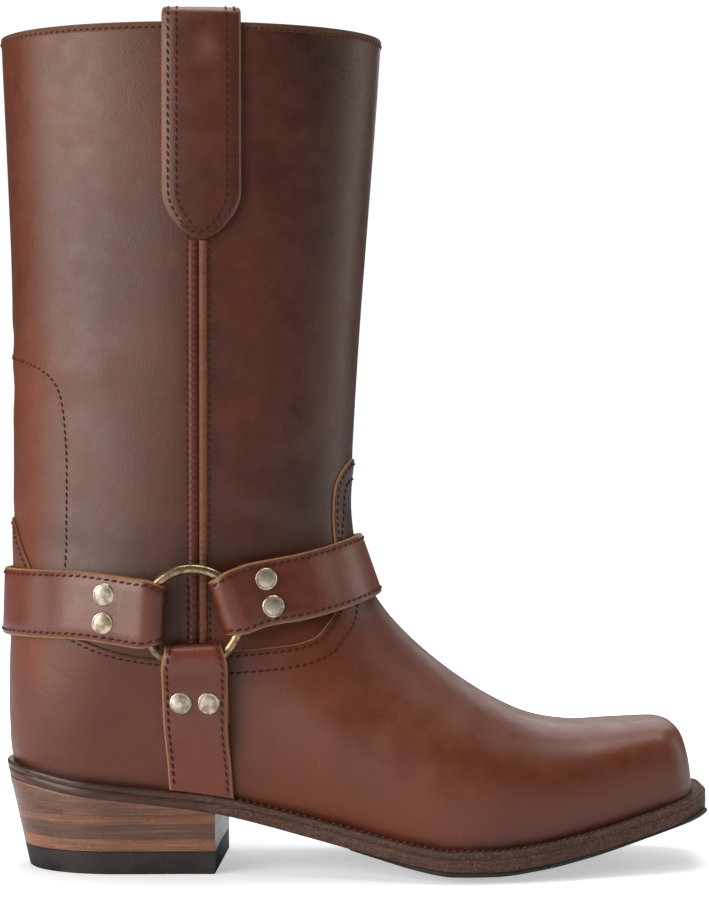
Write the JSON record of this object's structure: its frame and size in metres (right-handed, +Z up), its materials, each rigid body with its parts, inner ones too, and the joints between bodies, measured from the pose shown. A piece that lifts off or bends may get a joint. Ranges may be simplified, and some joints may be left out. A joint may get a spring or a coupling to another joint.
{
  "type": "leather harness boot",
  "caption": "Tall pull-on leather harness boot with a square toe, stacked heel, welted sole, pull straps and riveted straps that meet at a metal ring on each side.",
  "frame": {"origin": "middle of the heel's flat resting face, on the floor", "axes": "+X towards the toe, +Y towards the inner side of the foot, +Z up from the floor"},
  "size_m": [0.3028, 0.1129, 0.3584],
  "materials": {
    "upper_leather": "waxed pull-up leather, semi-matt, fine grain",
    "strap_leather": "thick bridle leather with raw light edges",
    "sole_leather": "dyed and burnished edge, lightly grained",
    "heel_leather": "stacked leather lifts, burnished",
    "insole_leather": "smooth natural leather, matt",
    "sole_rubber": "matt black rubber",
    "antique_brass": "antique brass, dull polish"
  },
  "bodies": {
    "root": {"vamp": "upper_leather", "counter": "upper_leather", "shaft": "upper_leather", "pull_strap_outer": "upper_leather", "pull_strap_inner": "upper_leather", "strap_rear": "strap_leather", "strap_front": "strap_leather", "strap_side_outer": "strap_leather", "strap_side_inner": "strap_leather", "ring_outer": "antique_brass", "ring_inner": "antique_brass", "rivet_rear_outer_1": "antique_brass", "rivet_rear_outer_2": "antique_brass", "rivet_rear_inner_1": "antique_brass", "rivet_rear_inner_2": "antique_brass", "rivet_front_outer_1": "antique_brass", "rivet_front_outer_2": "antique_brass", "rivet_front_inner_1": "antique_brass", "rivet_front_inner_2": "antique_brass", "rivet_side_outer_1": "antique_brass", "rivet_side_outer_2": "antique_brass", "rivet_side_inner_1": "antique_brass", "rivet_side_inner_2": "antique_brass", "welt": "sole_leather", "insole": "insole_leather", "outsole": "sole_leather", "half_sole": "sole_rubber", "heel_wedge": "heel_leather", "heel_lift_3": "heel_leather", "heel_lift_2": "heel_leather", "heel_lift_1": "heel_leather", "top_lift": "sole_rubber"}
  },
  "joints": []
}
